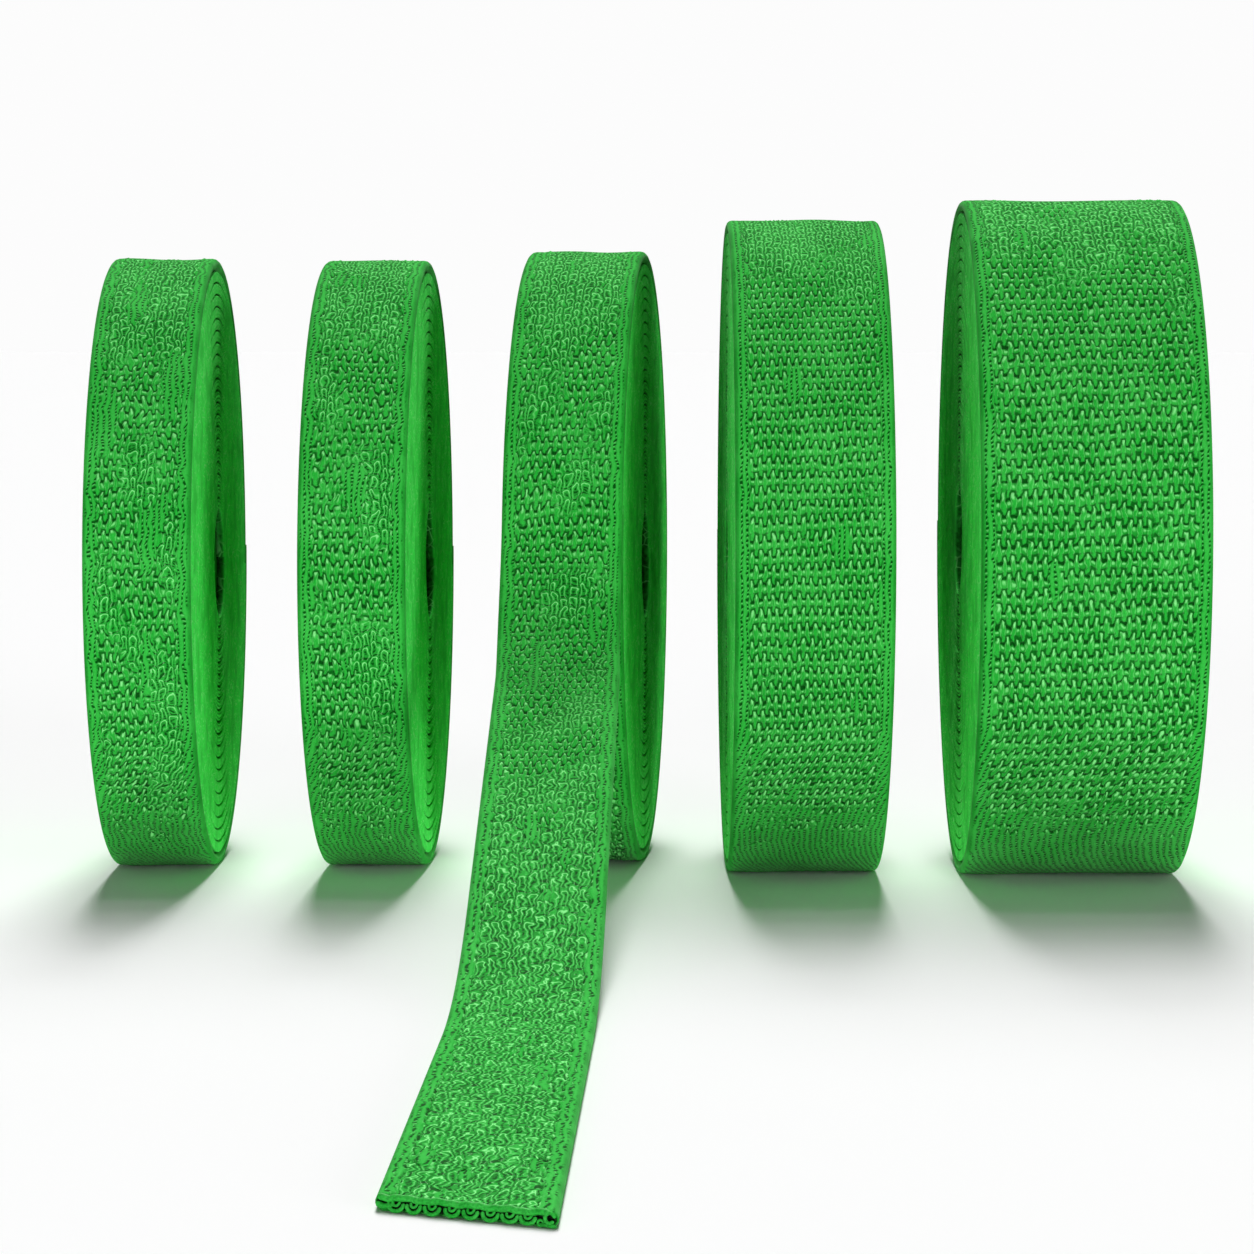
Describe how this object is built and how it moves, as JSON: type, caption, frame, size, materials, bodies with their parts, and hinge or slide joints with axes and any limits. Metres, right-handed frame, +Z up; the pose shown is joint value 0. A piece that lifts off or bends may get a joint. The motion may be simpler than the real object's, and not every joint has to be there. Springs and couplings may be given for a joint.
{
  "type": "resistance band",
  "caption": "Row of wound rolls of green knitted elastic band in graded widths, standing on their rims, one with its outer end drawn off and laid out to a cut end.",
  "frame": {"origin": "on the surface that the rolls stand on, under the middle of the whole set's box", "axes": "+Z up, the rolls' fronts and the free band point to -Y, +X to the right along the row towards the widest roll"},
  "size_m": [0.2468, 0.5261, 0.1558],
  "materials": {
    "knit": "knitted elastic fabric, bright green, raised stitches with a light sheen",
    "selvedge": "smooth turned knitted edge, bright green",
    "rubber_cord": "pale natural rubber cord, matt"
  },
  "bodies": {
    "roll_3": {"roll_3_back_layer": "knit", "roll_3_rubber_cords": "rubber_cord", "roll_3_face_layer": "knit", "roll_3_left_selvedge": "selvedge", "roll_3_right_selvedge": "selvedge"},
    "roll_1": {"roll_1_back_layer": "knit", "roll_1_rubber_cords": "rubber_cord", "roll_1_face_layer": "knit", "roll_1_left_selvedge": "selvedge", "roll_1_right_selvedge": "selvedge"},
    "roll_2": {"roll_2_back_layer": "knit", "roll_2_rubber_cords": "rubber_cord", "roll_2_face_layer": "knit", "roll_2_left_selvedge": "selvedge", "roll_2_right_selvedge": "selvedge"},
    "roll_4": {"roll_4_back_layer": "knit", "roll_4_rubber_cords": "rubber_cord", "roll_4_face_layer": "knit", "roll_4_left_selvedge": "selvedge", "roll_4_right_selvedge": "selvedge"},
    "roll_5": {"roll_5_back_layer": "knit", "roll_5_rubber_cords": "rubber_cord", "roll_5_face_layer": "knit", "roll_5_left_selvedge": "selvedge", "roll_5_right_selvedge": "selvedge"},
    "free_span": {"free_span_back_layer": "knit", "free_span_rubber_cords": "rubber_cord", "free_span_face_layer": "knit", "free_span_left_selvedge": "selvedge", "free_span_right_selvedge": "selvedge"},
    "free_end": {"free_end_back_layer": "knit", "free_end_rubber_cords": "rubber_cord", "free_end_face_layer": "knit", "free_end_left_selvedge": "selvedge", "free_end_right_selvedge": "selvedge"}
  },
  "joints": [
    {"name": "roll_1_turn", "type": "hinge", "parent": "roll_3", "child": "roll_1", "pos_m": [-0.1114, 0.17979, 0.072], "axis": [1, 0, 0], "continuous": true},
    {"name": "roll_2_turn", "type": "hinge", "parent": "roll_3", "child": "roll_2", "pos_m": [-0.0617, 0.17979, 0.0718], "axis": [0.9995, -0.0332, 0], "continuous": true},
    {"name": "roll_4_turn", "type": "hinge", "parent": "roll_3", "child": "roll_4", "pos_m": [0.0371, 0.16779, 0.07634], "axis": [0.9999, 0.0122, 0], "continuous": true},
    {"name": "roll_5_turn", "type": "hinge", "parent": "roll_3", "child": "roll_5", "pos_m": [0.0984, 0.16379, 0.07858], "axis": [1, 0, 0], "continuous": true},
    {"name": "free_band_lift", "type": "hinge", "parent": "roll_3", "child": "free_span", "pos_m": [-0.01764, 0.11633, 0.07716], "axis": [-0.9998, 0.0175, 0], "range_deg": [0, 35]},
    {"name": "band_stretch", "type": "slide", "parent": "free_span", "child": "free_end", "axis": [-0.0175, -0.9998, 0], "range_m": [0, 0.12], "stiffness_N_per_m": 150}
  ]
}
